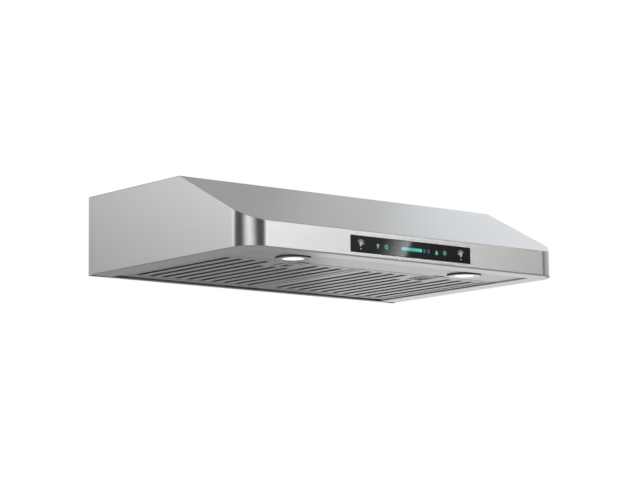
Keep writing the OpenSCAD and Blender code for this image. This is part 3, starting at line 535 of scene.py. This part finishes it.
clock = merged(
    hoop(across, upward, (clock_x, 0.0), 3.2, 0.5),
    stroke(across, upward, (clock_x, 0.0), (clock_x, 1.9), 0.4),
    stroke(across, upward, (clock_x, 0.0), (clock_x + 1.4, -0.6), 0.4),
)
digits = merged(
    *[
        abs(slab(across, upward, (x, z), 1.6, 1.5)) - 0.4
        for x in (31.0, 41.0)
        for z in (-1.5, 1.5)
    ]
)
bar = slab(across, upward, (0.0, 0.0), bar_half, bar_half_h)
white_signs = ink(hand, 0.6)
teal_signs = ink(merged(bulb, power, drop, clock), 0.7)
dim_signs = ink(merged(less, digits), 0.8)
bar_ink = ink(bar, 0.5)
halo = (1.0 - merged(bulb, power, drop, clock, bar) / 5.0).limited().maths("POWER", 3.0)
bar_tone = (0.55 + 0.45 * ((across + bar_half) / (2 * bar_half)).limited().maths("POWER", 5.0))


def lit(share, shade):
    """A colour scaled by a signal."""
    return glass.blend(share.limited(), (0.0, 0.0, 0.0), shade)


def added(first, second):
    """The sum of two colours."""
    settings = {"data_type": "RGBA", "blend_type": "ADD"}
    return glass.node("ShaderNodeMix", settings, {0: 1.0, 6: first, 7: second}, 2)


light = lit(white_signs * on_front, (0.42, 0.42, 0.40))
light = added(light, lit(teal_signs * on_front, (0.19, 0.42, 0.37)))
light = added(light, lit(dim_signs * on_front * 0.7, (0.16, 0.38, 0.33)))
light = added(light, lit(bar_ink * bar_tone * on_front, (0.09, 0.72, 0.62)))
light = added(light, lit(halo * on_front * 0.35, (0.01, 0.16, 0.12)))
smear = glass.noise((1.0, 1.0, 1.0), 30.0)
glass.surface(
    Base_Color=glass.blend(smear, (0.004, 0.005, 0.006), (0.008, 0.009, 0.010)),
    Roughness=0.01 + 0.02 * smear,
    Emission_Color=light,
    Emission_Strength=1.0,
)
panel = folded("control_glass", "touch_glass", 0.0004)
fit(panel, "control_glass", glass.material)

# ---------------------------------------------------------------- electrical parts
# Plastic housings, boards, the run capacitors and the lamp driver are behind the fascia and on
# the deck, out of sight until a filter is down.


def moulded(name, dark, light, rough):
    """Moulded plastic with the fine grain of its tool."""
    finish = Finish(name)
    grain = finish.noise((1.0, 1.0, 1.0), 900.0, 2.0)
    wear = finish.noise((1.0, 1.0, 1.0), 12.0)
    relief = {"Strength": 0.15, "Distance": 0.0001, "Height": grain}
    return finish.surface(
        Base_Color=finish.blend(wear, dark, light),
        Roughness=rough - 0.06 + 0.12 * grain,
        Normal=finish.node("ShaderNodeBump", {}, relief),
    )


black_plastic = moulded("black_plastic", (0.018, 0.018, 0.02), (0.035, 0.035, 0.037), 0.5)
white_plastic = moulded("white_plastic", (0.70, 0.70, 0.68), (0.82, 0.82, 0.80), 0.42)
board_green = moulded("board_green", (0.012, 0.13, 0.05), (0.03, 0.22, 0.09), 0.38)
sensor_dark = moulded("sensor_dark", (0.03, 0.01, 0.03), (0.06, 0.03, 0.06), 0.15)
can_white = moulded("can_white", (0.62, 0.62, 0.61), (0.74, 0.74, 0.73), 0.3)
tape_yellow = moulded("tape_yellow", (0.62, 0.44, 0.05), (0.78, 0.58, 0.10), 0.4)
lead_jacket = moulded("lead_jacket", (0.55, 0.20, 0.03), (0.72, 0.30, 0.06), 0.42)
motor_paint = moulded("motor_paint", (0.10, 0.105, 0.11), (0.18, 0.185, 0.19), 0.4)

ground_steel = Finish("ground_steel", Metallic=1.0)
lathe_marks = ground_steel.noise((1.0, 1.0, 40.0), 90.0)
ground_steel.surface(
    Base_Color=ground_steel.blend(lathe_marks, (0.50, 0.50, 0.50), (0.68, 0.68, 0.67)),
    Roughness=0.2 + 0.14 * lathe_marks,
)
for node, finish in (
    ("cable_gland", black_plastic),
    ("touch_housing", black_plastic),
    ("inlet_guards", black_plastic),
    ("electronics_box", white_plastic),
    ("electronics_lid", white_plastic),
    ("touch_board", board_green),
    ("main_board", board_green),
    ("gesture_sensors", sensor_dark),
    ("run_capacitors", can_white),
    ("led_driver", tape_yellow),
    ("wiring_loom", lead_jacket),
    ("motor_left", motor_paint),
    ("motor_right", motor_paint),
    ("motor_bearings", ground_steel.material),
    ("motor_shaft_left", ground_steel.material),
    ("motor_shaft_right", ground_steel.material),
    ("damper_pin", ground_steel.material),
):
    frame["nodes"][node].data.materials.clear()
    frame["nodes"][node].data.materials.append(finish)

# ---------------------------------------------------------------- fan wheels, flaps and screws
# The wheels are zinc plated, the damper flaps plain aluminium, and the screws bright plated with
# domed heads.

wheel_zinc = zinc_coat("wheel_zinc", (0.50, 0.51, 0.52), (0.66, 0.67, 0.68))
flap_metal = brushed_steel("flap_metal", (0.66, 0.67, 0.68), (0.78, 0.79, 0.80), 0, (0.3, 0.42))
for node, piece, finish, slot in (
    ("impeller_left", "fan_wheel_left", wheel_zinc, "wheel_zinc"),
    ("impeller_right", "fan_wheel_right", wheel_zinc, "wheel_zinc"),
    ("damper_flap_front", "flap_front", flap_metal, "flap_aluminium"),
    ("damper_flap_rear", "flap_rear", flap_metal, "flap_aluminium"),
    ("casing_screws", "case_screw_heads", ground_steel.material, "screw_steel"),
    ("collar_screws", "collar_screw_heads", ground_steel.material, "screw_steel"),
):
    fit(folded(node, piece, 0.0002), node, finish)

# ---------------------------------------------------------------- floor, light and camera
# The hood hangs in a pale studio: a plain floor far below it, and a soft surround with dark
# screens and a narrow strip light that the polished corners and the glass pick up. Softboxes
# behind it brighten the slope and the underside towards the right.

floor_z, floor_half = -6.0, 90.0
floor_mesh = bpy.data.meshes.new("floor")
corners = floor_half * np.array([(-1, -1), (1, -1), (1, 1), (-1, 1)])
floor_mesh.from_pydata(np.c_[corners, np.full(4, floor_z)], [], [(0, 1, 2, 3)])
floor = bpy.data.objects.new("floor", floor_mesh)
bpy.context.scene.collection.objects.link(floor)
pale = Finish("pale_floor", Roughness=0.8)
floor_mesh.materials.append(pale.surface(Base_Color=(0.72, 0.72, 0.71, 1.0)))

surround = bpy.data.worlds.new("surround")
surround.use_nodes = True
bpy.context.scene.world = surround
studio = Finish("surround", tree=surround.node_tree)
sight = {"Vector": studio.node("ShaderNodeTexCoord", {}, {}, "Generated")}
east = studio.node("ShaderNodeSeparateXYZ", {}, sight, "X")
north = studio.node("ShaderNodeSeparateXYZ", {}, sight, "Y")
height = studio.node("ShaderNodeSeparateXYZ", {}, sight, "Z")
bearing = (north * -1).maths("ARCTAN2", east * -1) * (180 / math.pi)
rise = height.maths("ARCSINE") * (180 / math.pi)
# Screens and lights all round, as (bearing in degrees from the left towards the front, level)
levels = [(-180, 0.70), (-140, 0.45), (-100, 0.12), (-63, 0.05), (-50, 1.32), (-38, 1.20)]
levels += [(-25, 0.10), (6, 0.05), (32, 1.40), (46, 1.30), (74, 0.08), (106, 0.05)]
levels += [(117, 1.5), (126, 1.95), (136, 0.26), (146, 0.25), (154, 0.25), (166, 0.85)]
levels += [(180, 0.70)]
stops = [((angle + 180) / 360, (level / 2,) * 3) for angle, level in levels]
halved = studio.node("ShaderNodeValToRGB", {"stops": stops}, {"Fac": (bearing + 180) / 360})
all_round = studio.node("ShaderNodeSeparateColor", {}, {"Color": halved}, "Red") * 2
overhead = ((rise - 14) / 26).limited()
upright = 0.2 + 1.2 * ((rise - 4) / 8).limited()
ceiling_level = 0.38
soft_ring = all_round * upright * (1 - overhead) + ceiling_level * overhead
# The strip light has one sharp and leaning edge, and fades away on the other side of it
strip_bearing, strip_rise, strip_lean, strip_width, strip_half_height = 131.45, 8.2, 0.41, 0.8, 1.5
strip_level = 16.0
past_edge = (bearing - strip_bearing - (rise - strip_rise) * strip_lean) / strip_width
strip = (1 + past_edge).limited() * past_edge.maths("LESS_THAN", 0.0)
strip = strip * strip * (abs(rise - strip_rise)).maths("LESS_THAN", strip_half_height)
glow_level = soft_ring + strip_level * strip

def softbox(name, place, aim, size, power, tint):
    """A square diffused lamp at a point, turned to shine at another point."""
    lamp = bpy.data.lights.new(name, "AREA")
    lamp.size = size
    lamp.energy = power
    lamp.color = tint
    holder = bpy.data.objects.new(name, lamp)
    bpy.context.scene.collection.objects.link(holder)
    holder.location = place
    holder.rotation_euler = (Vector(aim) - Vector(place)).to_track_quat("-Z", "Y").to_euler()
    holder.visible_camera = False


softbox("rear_softbox", (1.42, 0.52, 0.56), (0.3, -0.15, -0.05), 1.1, 0.75, (0.93, 0.97, 1.0))
softbox("far_softbox", (1.78, 0.52, 0.56), (0.3, -0.15, -0.05), 1.1, 1.3, (0.93, 0.97, 1.0))
softbox("low_softbox", (1.45, 1.15, -0.42), (0.3, 0.0, -0.15), 0.7, 0.8, (1.0, 0.99, 0.97))
to_eye = studio.node("ShaderNodeLightPath", {}, {}, "Is Camera Ray")
background = surround.node_tree.nodes["Background"]
studio.feed(background, {"Strength": glow_level * (1 - to_eye) + to_eye})
studio.feed(background, {"Color": (1.0, 1.0, 1.0, 1.0)})

lens_mm, sensor_mm = 135.3, 36.0
eye = (-2.8804, -3.5963, -0.7507)
yaw, pitch, roll = math.radians(39.336), math.radians(8.433), math.radians(-0.62)
camera = bpy.data.objects.new("camera", bpy.data.cameras.new("camera"))
bpy.context.scene.collection.objects.link(camera)
camera.data.lens = lens_mm
camera.data.sensor_width = sensor_mm
camera.data.clip_end = 200.0
turn = Matrix.Rotation(-yaw, 4, "Z") @ Matrix.Rotation(math.pi / 2 + pitch, 4, "X")
camera.matrix_world = Matrix.Translation(eye) @ turn @ Matrix.Rotation(roll, 4, "Z")
bpy.context.scene.camera = camera
bpy.context.scene.view_settings.view_transform = "Standard"
